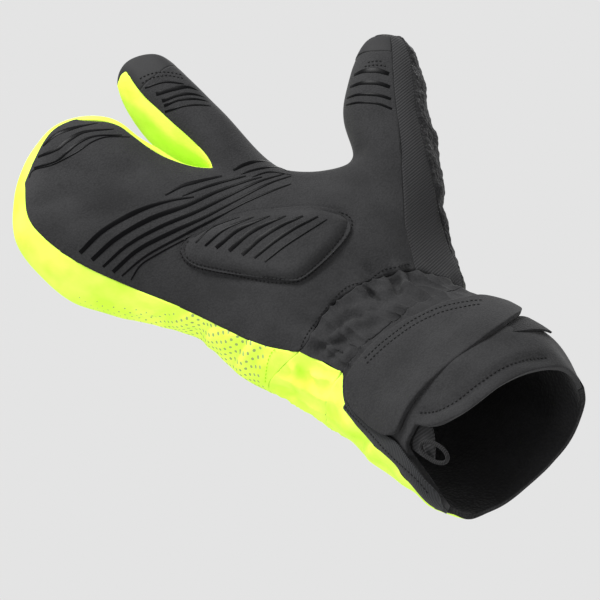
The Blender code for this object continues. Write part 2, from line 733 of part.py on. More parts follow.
# Layers on top
lift_over = lambda s: LAYER_GAP + (PATCH_THICK + LAYER_GAP) * min(max((s - .58) / .10, 0), 1)


def strap_at(s, t):
    low, high = blend(STRAP, s)
    v = low + (high - low) * t
    start = seams(v)[0] - blend(BINDING, v)[0] - 1
    return start + (STRAP_END - start) * s, v


strap_top = lambda s, t: lift_over(s) + STRAP_THICK
sheet("closure_strap", cuff_grid(22, 4, strap_at, strap_top),
      cuff_grid(22, 4, strap_at, lambda s, t: lift_over(s)), False, "softshell_black")


def patch_at(s, t):
    angle, low, high = blend(LOOP_PATCH, s)
    return angle, low + (high - low) * t


sheet("loop_patch", cuff_grid(6, 3, patch_at, flat(LAYER_GAP + PATCH_THICK)),
      cuff_grid(6, 3, patch_at, flat(LAYER_GAP)), False, "fastener_black")


def binding_at(s, t):
    v = BINDING_TOP * t
    return seams(v)[0] - .4 - blend(BINDING, v)[0] * s, v


sheet("edge_binding", cuff_grid(3, 16, binding_at, lambda s, t: LAYER_GAP + BIND_THICK * (1 - .5 * abs(2 * s - 1) ** 3)),
      cuff_grid(3, 16, binding_at, flat(LAYER_GAP)), False, "binding_black")


def gusset_at(s, t):
    angle, low, high = blend(GUSSET, s)
    return angle, low + (high - low) * t


inside = -(CUFF_WALL + GUSSET_SET_IN)
sheet("cuff_gusset", cuff_grid(6, 4, gusset_at, flat(inside)),
      cuff_grid(6, 4, gusset_at, flat(inside - GUSSET_THICK)), False, "twill_black")


def tube_ring(name, centre, across_dir, along_dir, half_w, half_l, radius, mat, around=16, sides=6):
    """A closed cord bent to an oval."""
    lift_dir = np.cross(across_dir, along_dir)
    P, faces = [], []
    for i in range(around):
        a = 2 * math.pi * i / around
        mid = centre + across_dir * half_w * math.cos(a) + along_dir * half_l * math.sin(a)
        out = across_dir * half_l * math.cos(a) + along_dir * half_w * math.sin(a)
        out /= np.linalg.norm(out)
        for k in range(sides):
            b = 2 * math.pi * k / sides
            P.append(mid + (out * math.cos(b) + lift_dir * math.sin(b)) * radius)
    for i in range(around):
        for k in range(sides):
            q = [i * sides + k, ((i + 1) % around) * sides + k,
                 ((i + 1) % around) * sides + (k + 1) % sides, i * sides + (k + 1) % sides]
            faces.append(q)
    return make(name, P, faces, mat)


angle, height, half_w, half_l = PULL_LOOP
spot = cuff_point(angle, height, inside + LAYER_GAP + PULL_CORD)
along = cuff_point(angle, height - .2) - cuff_point(angle, height + .2)
along /= np.linalg.norm(along)
flat_n = cuff_point(angle, height, .001) - cuff_point(angle, height)
flat_n /= np.linalg.norm(flat_n)
side_dir = np.cross(along, flat_n)
side_dir /= np.linalg.norm(side_dir)
tube_ring("pull_loop", spot, side_dir, along, half_w, half_l, PULL_CORD, "binding_black")

# the pad: rings of its outline laid on the palm
tree = BVHTree.FromPolygons([Vector(p) for p in P2], F2)


def on_palm(x, z, out):
    hit, nrm, face, _ = tree.ray_cast(Vector((x, -1.0, z)), Vector((0, 1, 0)))
    q = np.array(hit)
    w = np.array([1 / (np.linalg.norm(P2[v] - q) + 1e-5) for v in F2[face]])
    n = (np.array([N2[v] for v in F2[face]]) * w[:, None]).sum(0)
    return q + n / np.linalg.norm(n) * out


def pad(name, outline, rings, gap, thick, mat):
    pts = np.array([(X(x), Z(z)) for x, z in outline])
    n = len(pts) * 2                       # rounded between the table points
    fine = []
    for i in range(len(pts)):
        a, b, c, d = (pts[(i + k) % len(pts)] for k in (-1, 0, 1, 2))
        fine += [b, (-a + 9 * b + 9 * c - d) / 16]
    pts = np.array(fine)
    mid = pts.mean(0)
    P = [on_palm(*mid, gap + thick), on_palm(*mid, gap)]
    faces = []
    for share, h in rings:
        for p in mid + (pts - mid) * share:
            P += [on_palm(*p, gap + thick * h), on_palm(*p, gap)]
    at = lambda r, j, low: 2 + 2 * (r * n + j % n) + low
    for j in range(n):
        faces += [[0, at(0, j, 0), at(0, j + 1, 0)], [1, at(0, j + 1, 1), at(0, j, 1)]]
        for r in range(len(rings) - 1):
            faces += [[at(r, j, 0), at(r + 1, j, 0), at(r + 1, j + 1, 0), at(r, j + 1, 0)],
                      [at(r, j, 1), at(r, j + 1, 1), at(r + 1, j + 1, 1), at(r + 1, j, 1)]]
        e = len(rings) - 1
        faces.append([at(e, j, 0), at(e, j, 1), at(e, j + 1, 1), at(e, j + 1, 0)])
    turn = np.cross(pts[1] - mid, pts[0] - mid)
    if turn > 0:
        faces = [f[::-1] for f in faces]
    return make(name, P, faces, mat)


pad("palm_pad", PAD_OUTLINE, [(.45, 1.0), (.80, .95), (.92, .55), (1.0, .25)], LAYER_GAP, PAD_THICK, "pad_black")
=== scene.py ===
# %% [markdown]
# A lobster claw mitt is a winter glove that keeps three fingers together in one
# warm lobe, while the index finger and the thumb work alone. This one is black
# softshell on the palm and fluorescent yellow knit on the back, with printed
# silicone grip lines, a padded heel, a gathered wrist and a strapped cuff. The
# solids of its panels are loaded as a frame, and every cell dresses some of them.

# %% The frame
import math

import bmesh
import bpy
import numpy as np
from mathutils import Matrix, Vector, noise
from mathutils.bvhtree import BVHTree
from mathutils.kdtree import KDTree


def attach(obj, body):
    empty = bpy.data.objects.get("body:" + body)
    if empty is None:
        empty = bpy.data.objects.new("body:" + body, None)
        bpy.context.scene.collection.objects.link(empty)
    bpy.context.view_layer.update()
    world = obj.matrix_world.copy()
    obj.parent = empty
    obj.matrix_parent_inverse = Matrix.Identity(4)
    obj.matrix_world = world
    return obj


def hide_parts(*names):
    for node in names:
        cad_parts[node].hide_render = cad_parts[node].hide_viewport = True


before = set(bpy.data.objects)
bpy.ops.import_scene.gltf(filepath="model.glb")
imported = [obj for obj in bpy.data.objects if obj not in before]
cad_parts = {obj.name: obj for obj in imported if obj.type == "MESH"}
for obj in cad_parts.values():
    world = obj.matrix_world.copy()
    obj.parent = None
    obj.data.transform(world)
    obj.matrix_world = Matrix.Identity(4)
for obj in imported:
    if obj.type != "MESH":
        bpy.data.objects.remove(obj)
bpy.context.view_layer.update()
bpy.ops.object.select_all(action="DESELECT")
MM = 0.001
print("panels:", ", ".join(sorted(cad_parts)))

# %% [markdown]
# The camera comes first, because lines that are read off the photograph, such as
# a row of stitches, are thrown from it onto the fabric. It looks up at the palm
# from below the cuff, through a long lens that keeps the fingers in proportion.

# %% The camera
PICTURE = 600                                   # pixels along a side of the photograph
LENS, SENSOR = 95.74, 36.0                      # millimetres
CAMERA_SPOT = Vector((-216.0, -645.3, -104.8)) * MM
CAMERA_AIM = Vector((28, 25, 127)) * MM
CAMERA_ROLL = math.radians(-65)
FOCAL = LENS / SENSOR * PICTURE                 # pixels

back = (CAMERA_SPOT - CAMERA_AIM).normalized()
level = Vector((0, 0, 1)).cross(back).normalized()
right = level * math.cos(CAMERA_ROLL) + back.cross(level) * math.sin(CAMERA_ROLL)
up = back.cross(right)

lens = bpy.data.cameras.new("camera")
camera = bpy.data.objects.new("camera", lens)
bpy.context.scene.collection.objects.link(camera)
camera.matrix_world = Matrix((
    (right.x, up.x, back.x, CAMERA_SPOT.x),
    (right.y, up.y, back.y, CAMERA_SPOT.y),
    (right.z, up.z, back.z, CAMERA_SPOT.z),
    (0, 0, 0, 1)))
lens.lens, lens.sensor_width, lens.clip_start = LENS, SENSOR, 0.01
bpy.context.scene.camera = camera


def sight(pixel):
    """Direction from the camera through a pixel of the photograph."""
    x, y = pixel[0] - PICTURE / 2, pixel[1] - PICTURE / 2
    return (right * x - up * y - back * FOCAL).normalized()


# %% [markdown]
# The mitt was photographed in soft, even light on pale grey. The sky gives most
# of it. A lamp from the upper left models the folds, a small one from the lower
# left fills the near side, and a broad weak one from behind keeps the back of the
# hand readable.

# %% Light and floor
PAPER = "#E4E4E4"


def linear(hex_text):
    """An sRGB hex colour as linear red, green, blue and alpha."""
    parts = [int(hex_text[i:i + 2], 16) / 255 for i in (1, 3, 5)]
    return tuple(c / 12.92 if c <= .04045 else ((c + .055) / 1.055) ** 2.4 for c in parts) + (1.0,)


world = bpy.data.worlds.new("studio")
world.use_nodes = True
world.node_tree.nodes["Background"].inputs["Color"].default_value = linear(PAPER)
world.node_tree.nodes["Background"].inputs["Strength"].default_value = 1.0
bpy.context.scene.world = world
bpy.context.scene.view_settings.view_transform = "Standard"

LAMPS = [
    # name          towards the lamp                    distance  size  watts
    ("key_light", up * .85 - right * .45 + back * .22, 1.1, .45, 17.0),
    ("glint_light", -up * .55 - right * .80 + back * .75, 1.3, .22, 7.0),
    ("edge_light", -back * .9 + up * .5 + right * .3, 1.2, .80, 3.0),
]
for name, towards, distance, size, watts in LAMPS:
    lamp = bpy.data.lights.new(name, "AREA")
    lamp.size, lamp.energy = size, watts
    holder = bpy.data.objects.new(name, lamp)
    bpy.context.scene.collection.objects.link(holder)
    towards = towards.normalized()
    holder.location = CAMERA_AIM + towards * distance
    holder.rotation_mode = "QUATERNION"
    holder.rotation_quaternion = towards.to_track_quat("Z", "Y")

FLOOR_HEIGHT = -450 * MM
bpy.ops.mesh.primitive_plane_add(size=6, location=(0, 0, FLOOR_HEIGHT))
floor = bpy.context.object
floor.name = "floor"

# %% [markdown]
# A material starts from its real make. Cloth is matt, so its roughness is high
# and a little sheen lifts its edges. What tells one cloth from another is the
# relief: the grain of a brushed knit, the diagonal ribs of a twill, the loops of
# a terry. Each relief is a pattern in millimetres on the cloth itself.

# %% Functions for nodes
def shade(mat, node, inputs):
    """Gives each input its value, or links it where the value is a socket."""
    for name, value in inputs.items():
        if isinstance(value, bpy.types.NodeSocket):
            mat.node_tree.links.new(value, node.inputs[name])
        else:
            node.inputs[name].default_value = value


def add(mat, kind, inputs=None, **settings):
    """A new node with its settings and inputs."""
    node = mat.node_tree.nodes.new(kind)
    for key, value in settings.items():
        setattr(node, key, value)
    shade(mat, node, inputs or {})
    return node


def new_material(name, viewport):
    """A material and its shader node."""
    mat = bpy.data.materials.new(name)
    mat.use_nodes = True
    mat.diffuse_color = linear(viewport)
    return mat, mat.node_tree.nodes["Principled BSDF"]


# %% Cloths with a fine grain
def grain_cloth(name, light, dark, grain, relief, rough, sheen, patch=18 * MM):
    """Brushed or knitted cloth: small grains, in soft patches of light and dark."""
    mat, surface = new_material(name, light)
    place = add(mat, "ShaderNodeTexCoord").outputs["Object"]
    dimples = add(mat, "ShaderNodeTexVoronoi", {"Vector": place, "Scale": 1 / grain})
    mottle = add(mat, "ShaderNodeTexNoise", {"Vector": place, "Scale": 1 / patch, "Detail": 4.0})
    mix = add(mat, "ShaderNodeMath", {0: dimples.outputs["Distance"], 1: .55}, operation="MULTIPLY")
    both = add(mat, "ShaderNodeMath", {0: mix.outputs[0], 1: mottle.outputs["Fac"]}, operation="ADD")
    colour = add(mat, "ShaderNodeValToRGB", {"Fac": both.outputs[0]})
    colour.color_ramp.elements[0].position, colour.color_ramp.elements[0].color = .45, linear(light)
    colour.color_ramp.elements[1].position, colour.color_ramp.elements[1].color = 1.05, linear(dark)
    bump = add(mat, "ShaderNodeBump", {"Height": dimples.outputs["Distance"], "Distance": relief},
               invert=True)
    shade(mat, surface, {"Base Color": colour.outputs["Color"], "Normal": bump.outputs["Normal"],
                         "Roughness": rough, "Specular IOR Level": .25,
                         "Sheen Weight": sheen, "Sheen Roughness": .4})
    return mat


# brushed polyester softshell: the grain is drawn at 0.9 mm, larger than the real one, so that it shows
softshell = grain_cloth("softshell_black", "#29292A", "#1D1D1E", .9 * MM, .14 * MM, .9, .04)
# the same cloth stretched over foam on the heel of the hand
pad_cloth = grain_cloth("softshell_over_foam", "#29292A", "#1D1D1E", .9 * MM, .14 * MM, .9, .04)
# polyurethane that works a touch screen: smooth, with a soft gloss
touch_cloth = grain_cloth("polyurethane_touch_black", "#1F1F20", "#19191A", .5 * MM, .03 * MM, .75, .02)
# brushed fleece that lines the whole mitt
lining = grain_cloth("fleece_lining_black", "#161617", "#101011", 1.4 * MM, .30 * MM, 1.0, .10)
# looped fastener tape
fastener = grain_cloth("loop_fastener_black", "#1C1C1D", "#101011", 1.0 * MM, .35 * MM, .95, .05)
# looped pile of cotton and polyester: deep and soft, it eats the light
terry = grain_cloth("terry_black", "#242425", "#131314", 1.3 * MM, .50 * MM, 1.0, .12, 7 * MM)


# %% Ribbed cloths
def ribbed_cloth(name, light, dark, pitch, run, relief, rough):
    """Woven cloth whose ribs cross the direction run, one every pitch."""
    mat, surface = new_material(name, light)
    place = add(mat, "ShaderNodeTexCoord").outputs["Object"]
    turns = tuple(Vector(run).normalized() * (2 * math.pi / pitch))
    phase = add(mat, "ShaderNodeVectorMath", {0: place, 1: turns}, operation="DOT_PRODUCT")
    rib = add(mat, "ShaderNodeMath", {0: phase.outputs["Value"]}, operation="SINE")
    grain = add(mat, "ShaderNodeTexNoise", {"Vector": place, "Scale": 900.0, "Detail": 2.0})
    height = add(mat, "ShaderNodeMath", {0: rib.outputs[0], 1: grain.outputs["Fac"]}, operation="ADD")
    colour = add(mat, "ShaderNodeValToRGB", {"Fac": height.outputs[0]})
    colour.color_ramp.elements[0].position, colour.color_ramp.elements[0].color = 0.0, linear(dark)
    colour.color_ramp.elements[1].position, colour.color_ramp.elements[1].color = 1.0, linear(light)
    bump = add(mat, "ShaderNodeBump", {"Height": height.outputs[0], "Distance": relief})
    shade(mat, surface, {"Base Color": colour.outputs["Color"], "Normal": bump.outputs["Normal"],
                         "Roughness": rough, "Specular IOR Level": .25, "Sheen Weight": .04})
    return mat


# polyester twill: diagonal ribs, drawn 1.2 mm apart so that they show
twill = ribbed_cloth("polyester_twill_black", "#2A2A2B", "#1E1E1F",
                     1.2 * MM, (.31, -.41, .86), .09 * MM, .9)
# woven tape, its ribs across the strip
tape = ribbed_cloth("woven_tape_black", "#252628", "#1A1B1C", 1.0 * MM, (.25, .45, .86), .08 * MM, .8)
# braided cord
braid = ribbed_cloth("braided_cord_black", "#121213", "#0A0A0B", 1.0 * MM, (.3, .3, .9), .10 * MM, .8)


# %% [markdown]
# The yellow knit is dyed with a fluorescent pigment, which sends back more green
# than the light holds. A trace of its own glow stands for that. Along the little
# finger it carries small grey reflective dots. Their grid is even as seen from
# that side, so they stretch where they reach the back. A number painted on the
# mesh, print_size, says how large the dots are there.

# %% The fluorescent knit with its printed dots
DOT_PITCH = 4.2 * MM
DOT_ROW = DOT_PITCH * .62                       # from one row to the next
DOT_RADIUS = .72 * MM


def fluorescent_knit(name, light, dark, print_colour):
    """Fine knit in two shades of one colour, with the dots printed over it."""
    mat, surface = new_material(name, light)
    place = add(mat, "ShaderNodeTexCoord").outputs["Object"]
    parts = add(mat, "ShaderNodeSeparateXYZ", {0: place})

    def maths(operation, a, b=0.0):
        return add(mat, "ShaderNodeMath", {0: a, 1: b}, operation=operation).outputs[0]

    row = maths("DIVIDE", parts.outputs["Z"], DOT_ROW)
    line = maths("FLOOR", row)
    shift = maths("MULTIPLY", maths("MODULO", line, 2.0), .5)
    column = maths("ADD", maths("DIVIDE", parts.outputs["Y"], DOT_PITCH), shift)
    du = maths("MULTIPLY", maths("SUBTRACT", maths("FRACT", column), .5), DOT_PITCH)
    dv = maths("MULTIPLY", maths("SUBTRACT", maths("SUBTRACT", row, line), .5), DOT_ROW)
    apart = maths("SQRT", maths("ADD", maths("MULTIPLY", du, du), maths("MULTIPLY", dv, dv)))
    size = add(mat, "ShaderNodeAttribute", attribute_name="print_size").outputs["Fac"]
    dot = maths("LESS_THAN", apart, maths("MULTIPLY", size, DOT_RADIUS))

    dimples = add(mat, "ShaderNodeTexVoronoi", {"Vector": place, "Scale": 1 / (.8 * MM)})
    mottle = add(mat, "ShaderNodeTexNoise", {"Vector": place, "Scale": 60.0, "Detail": 3.0})
    colour = add(mat, "ShaderNodeValToRGB", {"Fac": mottle.outputs["Fac"]})
    colour.color_ramp.elements[0].color = linear(dark)
    colour.color_ramp.elements[0].position = .30
    colour.color_ramp.elements[1].color = linear(light)
    colour.color_ramp.elements[1].position = .60
    printed = add(mat, "ShaderNodeMix", {0: dot, 6: colour.outputs["Color"], 7: linear(print_colour)},
                  data_type="RGBA")
    bump = add(mat, "ShaderNodeBump", {"Height": dimples.outputs["Distance"], "Distance": .05 * MM},
               invert=True)
    shade(mat, surface, {"Base Color": printed.outputs[2], "Normal": bump.outputs["Normal"],
                         "Roughness": .85, "Specular IOR Level": .25,
                         "Emission Color": linear(light), "Emission Strength": .06})
    return mat


yellow_knit = fluorescent_knit("fluorescent_knit_yellow", "#D2F256", "#BCE23C", "#85945F")

# %% [markdown]
# Silicone grip is printed on the cloth as a paste and cures to a low line with a
# flat top. It is darker than the cloth and hardly shines, so it reads as a stripe.

# %% Silicone and thread
silicone, silicone_surface = new_material("silicone_print_black", "#161617")
silicone_noise = add(silicone, "ShaderNodeTexNoise", {
    "Vector": add(silicone, "ShaderNodeTexCoord").outputs["Object"], "Scale": 500.0, "Detail": 2.0})
shade(silicone, silicone_surface, {
    "Base Color": linear("#050506"), "Roughness": .34, "Specular IOR Level": .05,
    "Normal": add(silicone, "ShaderNodeBump", {
        "Height": silicone_noise.outputs["Fac"], "Distance": .02 * MM}).outputs["Normal"]})


def thread(name, colour):
    """Spun polyester sewing thread: two plies twisted, with a dull shine."""
    mat, surface = new_material(name, colour)
    place = add(mat, "ShaderNodeTexCoord").outputs["Object"]
    plies = add(mat, "ShaderNodeTexWave", {"Vector": place, "Scale": 700.0}, bands_direction="DIAGONAL")
    bump = add(mat, "ShaderNodeBump", {"Height": plies.outputs["Fac"], "Distance": .05 * MM})
    shade(mat, surface, {"Base Color": linear(colour), "Normal": bump.outputs["Normal"],
                         "Roughness": .6, "Specular IOR Level": .2})
    return mat


# black thread, darker than the cloth: partly its own colour, partly painted shade that stands for the
# shadows in the needle holes
black_thread_and_hole_shade = thread("polyester_thread_black_and_hole_shade", "#070708")
yellow_thread = thread("polyester_thread_yellow", "#A8D820")
print("materials:", len(bpy.data.materials))


# %% [markdown]
# Each panel of the frame is one solid of flat facets, a wall with an outer face,
# an inner face and a rim. Its dressed copy is welded, turned back to four-sided
# faces and subdivided. The rims are pushed out until they touch the next panel's,
# and creased, so that two panels meet in a narrow seam. The inner faces get the
# fleece: a face looks inwards if most rays from it meet the mitt again nearby.

# %% Telling the lining from the shell
RAYS = 14                                       # from each face
RAY_TURN = 2.39996                              # radians from one ray to the next
RAY_START = .4 * MM                             # clear of the face itself
MET_SHARE = .72                                 # of the rays: with more, it is lining
HAND_SPAN = 85 * MM
CUFF_AXIS = (Vector((0, 0, 2)) * MM, Vector((25, 29, 92)) * MM)


def mesh_tree(objects):
    """All faces of the objects, ready to be met by rays."""
    points, faces = [], []
    for ob in objects:
        start = len(points)
        points += [v.co.copy() for v in ob.data.vertices]
        faces += [[start + i for i in p.vertices] for p in ob.data.polygons]
    return BVHTree.FromPolygons(points, faces)


SHELL = ["palm_panel", "back_panel", "index_touch_panel", "thumb_touch_panel", "thumb_side_panel",
         "thumb_back_panel", "wrist_band_front", "wrist_band_back", "cuff_front", "cuff_back"]
whole = mesh_tree(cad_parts[name] for name in SHELL)


def meets_mitt(centre, normal):
    """Above 0 where most rays from a face of the hand meet the mitt again."""
    side = normal.orthogonal().normalized()
    other = normal.cross(side)
    hits = 0
    for i in range(RAYS):
        lean = math.acos(1 - (i + .5) / RAYS * .8)
        turn = i * RAY_TURN
        ray = normal * math.cos(lean) + (side * math.cos(turn) + other * math.sin(turn)) * math.sin(lean)
        hits += whole.ray_cast(centre + normal * RAY_START, ray, HAND_SPAN)[0] is not None
    return hits / RAYS - MET_SHARE


def faces_axis(centre, normal):
    """Above 0 where a face of the cuff looks towards the line of the wrist."""
    a, b = CUFF_AXIS
    along = (b - a).normalized()
    towards = a + along * (centre - a).dot(along) - centre
    return normal.dot(towards.normalized())


def inner_faces(bm, sharp, measure, rounds=25):
    """Faces of the lining: each measure is evened out with its neighbours inside the same rims."""
    near = [[g.index for e in f.edges if e not in sharp for g in e.link_faces if g != f] for f in bm.faces]
    area = np.array([f.calc_area() for f in bm.faces])
    score = np.array([measure(f.calc_center_median(), f.normal) for f in bm.faces]) * area
    for _ in range(rounds):
        score = np.array([score[i] + score[n].sum() for i, n in enumerate(near)])
        score /= np.abs(score).max()
    return score > 0


# %% Making a dressed panel
WELD = 1e-5
RIM_ANGLE = math.radians(52)
RIM = 2                                         # material slot of the rims
RIM_GROWTH = .38 * MM                           # closes the gap of the frame at a seam


def dress(node, name, levels, outer, inner=None, measure=None, crease=.9, rim=None):
    """A smooth copy of a CAD panel that stands for it."""
    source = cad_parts[node].data
    mesh = bpy.data.meshes.new(name)
    mesh.from_pydata([v.co[:] for v in source.vertices], [], [p.vertices[:] for p in source.polygons])
    ob = bpy.data.objects.new(name, mesh)
    bpy.context.scene.collection.objects.link(ob)
    bm = bmesh.new()
    bm.from_mesh(mesh)
    bmesh.ops.remove_doubles(bm, verts=bm.verts, dist=WELD)
    bmesh.ops.join_triangles(bm, faces=bm.faces, angle_face_threshold=math.radians(35),
                             angle_shape_threshold=math.radians(70))
    marks = bm.edges.layers.float.new("crease_edge")
    bm.normal_update()
    bm.faces.index_update()
    sharp = {e for e in bm.edges if len(e.link_faces) == 2 and e.calc_face_angle() > RIM_ANGLE}
    for edge in sharp:
        edge[marks] = crease
    if measure:
        for face, lined in zip(bm.faces, inner_faces(bm, sharp, measure)):
            face.material_index = int(lined)
        growth = {}
        for face in bm.faces:
            if len([e for e in face.edges if e in sharp]) > 1:
                face.material_index = RIM
                for vert in face.verts:
                    growth[vert] = growth.get(vert, Vector()) + face.normal
        for vert, way in growth.items():
            vert.co += way.normalized() * RIM_GROWTH
    bm.to_mesh(mesh)
    bm.free()
    for cloth in (outer, inner, rim or outer):
        if cloth:
            mesh.materials.append(cloth)
    bpy.ops.object.select_all(action="DESELECT")
    bpy.context.view_layer.objects.active = ob
    ob.select_set(True)
    rounding = ob.modifiers.new("rounding", "SUBSURF")
    rounding.levels = rounding.render_levels = levels
    bpy.ops.object.modifier_apply(modifier=rounding.name)
    bpy.ops.object.shade_smooth()
    ob.select_set(False)
    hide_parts(node)
    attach(ob, "root")
    return ob


palm = dress("palm_panel", "palm_shell", 2, softshell, lining, meets_mitt)
back_of_hand = dress("back_panel", "back_shell", 2, yellow_knit, lining, meets_mitt)
index_touch = dress("index_touch_panel", "index_touch_cloth", 2, touch_cloth, lining, meets_mitt)
thumb_touch = dress("thumb_touch_panel", "thumb_touch_cloth", 2, touch_cloth, lining, meets_mitt)
thumb_side = dress("thumb_side_panel", "thumb_side_twill", 2, twill, lining, meets_mitt)
thumb_back = dress("thumb_back_panel", "thumb_back_terry", 3, terry, lining, meets_mitt)
band_front = dress("wrist_band_front", "wrist_gather_black", 3, softshell, lining, faces_axis)
band_back = dress("wrist_band_back", "wrist_gather_yellow", 3, yellow_knit, lining, faces_axis)
cuff_front = dress("cuff_front", "cuff_black", 3, softshell, lining, faces_axis)
cuff_back = dress("cuff_back", "cuff_yellow", 3, yellow_knit, lining, faces_axis, rim=lining)
pad = dress("palm_pad", "heel_pad", 3, pad_cloth, crease=.2)
strap = dress("closure_strap", "strap", 3, softshell, crease=.55)
patch = dress("loop_patch", "loop_tape", 3, fastener)
binding = dress("edge_binding", "seam_tape", 2, tape, crease=.5)
gusset = dress("cuff_gusset", "vent_gusset", 3, twill)
dress("pull_loop", "pull_cord", 2, braid, crease=0)
cloths = [palm, back_of_hand, index_touch, thumb_touch, thumb_side, thumb_back, band_front, band_back,
          cuff_front, cuff_back, pad, strap, patch, binding, gusset]
print("dressed panels:", len(cloths) + 1, "triangles:",
      sum(len(p.vertices) - 2 for ob in cloths for p in ob.data.polygons))


# %% [markdown]
# Folds, seams and rows of stitches are lines on the cloth. A short list of pixels
# of the photograph says where each runs. The list is rounded to a smooth line and
# every point of it is thrown from the camera until it meets the cloth.

# %% Lines from the photograph onto the cloth
def rounded(points, step):
    """A smooth line through the points, with a point about every step."""
    P = np.array(points, float)
    ends = np.vstack([2 * P[0] - P[1], P, 2 * P[-1] - P[-2]])
    line = []
    for a, b, c, d in zip(ends, ends[1:], ends[2:], ends[3:]):
        count = max(int(np.linalg.norm(c - b) / step), 1)
        for t in np.arange(count) / count:
            line.append(.5 * (2 * b + (c - a) * t + (2 * a - 5 * b + 4 * c - d) * t * t
                              + (3 * b - a - 3 * c + d) * t ** 3))
    return np.array(line + [P[-1]])


def on_cloth(pixels, objects, step=1.0):
    """The line of pixels, thrown on the nearest of the objects."""
    tree = mesh_tree(objects)
    spots, normals = [], []
    for pixel in rounded(pixels, step):
        hit, normal, _, _ = tree.ray_cast(CAMERA_SPOT, sight(pixel))
        if hit is not None:
            spots.append(hit)
            normals.append(normal)
    return np.array(spots), np.array(normals)


def reach(co, line):
    """How far each point lies from the line, and how far along it that is."""
    a, d = line[:-1], np.diff(line, axis=0)
    length = np.maximum(np.linalg.norm(d, axis=1), 1e-9)
    start = np.concatenate([[0], np.cumsum(length)[:-1]])
    best, along = np.full(len(co), 1e9), np.zeros(len(co))
    for i in range(len(a)):
        t = np.clip((co - a[i]) @ d[i] / length[i] ** 2, 0, 1)
        apart = np.linalg.norm(co - a[i] - t[:, None] * d[i], axis=1)
        nearer = apart < best
        best[nearer], along[nearer] = apart[nearer], (start[i] + t * length[i])[nearer]
    return best, along, start[-1] + length[-1]


def read(ob):
    """Points of a mesh and the way out of the mitt there, the same on both sides of the wall.

    The faces of a rim look sideways and are left out. A point that only they share
    takes the way of the nearest other point.
    """
    mesh = ob.data
    co, way = np.zeros(len(mesh.vertices) * 3), np.zeros((len(mesh.vertices), 3))
    mesh.vertices.foreach_get("co", co)
    count = len(mesh.polygons)
    normal, area = np.zeros(count * 3), np.zeros(count)
    side, corners = np.zeros(count, int), np.zeros(count, int)
    mesh.polygons.foreach_get("normal", normal)
    mesh.polygons.foreach_get("area", area)
    mesh.polygons.foreach_get("material_index", side)
    mesh.polygons.foreach_get("loop_total", corners)
    vertex = np.zeros(len(mesh.loops), int)
    mesh.loops.foreach_get("vertex_index", vertex)
    push = normal.reshape(-1, 3) * (area * np.array((1, -1, 0))[side])[:, None]
    np.add.at(way, vertex, np.repeat(push, corners, axis=0))
    known = np.linalg.norm(way, axis=1) > 0
    if not known.all():
        tree = KDTree(int(known.sum()))
        for index in np.flatnonzero(known):
            tree.insert(co.reshape(-1, 3)[index], index)
        tree.balance()
        for index in np.flatnonzero(~known):
            way[index] = way[tree.find(co.reshape(-1, 3)[index])[1]]
    return co.reshape(-1, 3), way / np.maximum(np.linalg.norm(way, axis=1), 1e-12)[:, None]


def write(ob, co):
    ob.data.vertices.foreach_set("co", co.ravel())
    ob.data.update()


# %% [markdown]
# Soft cloth is never as even as its pattern. A fold is a shallow trough along its
# line, with a low swell on both sides where the cloth it took up has gone. It
# runs on across a seam, or the two panels would part there.

# %% Folding the cloth
def fold(ob, line, width, depth):
    """Presses a trough into the cloth along a line; a negative depth is a ridge."""
    co, normal = read(ob)
    near, along, length = reach(co, line)
    ends = np.clip(np.minimum(along, length - along) / (2 * width) + .25, 0, 1)
    shape = np.exp(-(near / width) ** 2) - .35 * np.exp(-((near - 2.1 * width) / width) ** 2)
    write(ob, co - normal * (depth * shape * ends)[:, None])


def rumple(ob, size, depth, seed, weight=1.0):
    """Slow, soft unevenness over the whole cloth, or as strong as the weight says."""
    co, normal = read(ob)
    push = np.array([noise.noise(Vector(p)) for p in co / size + seed]) * depth * weight
    write(ob, co + normal * push[:, None])


def close_to(ob, other, span):
    """1 where the cloth meets the other piece, falling to 0 a span away."""
    tree = mesh_tree([other])
    co, _ = read(ob)
    apart = np.array([tree.find_nearest(Vector(p))[3] for p in co])
    return np.clip(1 - apart / span, 0, 1)


# %% Lines that are both folded and sewn, or folded and printed
FINGER_SEAM = [(48, 277), (76, 291), (108, 304), (160, 313), (188, 313)]
HEM_ROW = [(419, 413), (437, 411), (455, 402), (479, 383.5), (503, 368), (526, 360), (549, 357.5)]
PAD_EDGE = [(186, 238), (181.5, 247), (182, 257), (193, 267), (225, 274), (260, 281), (287, 283.5),
            (303, 280), (317, 269), (335, 251), (349, 232), (352, 222), (347, 215)]
PAD_TOP = [(330, 209), (300, 208), (260, 211), (220, 220), (186, 238)]

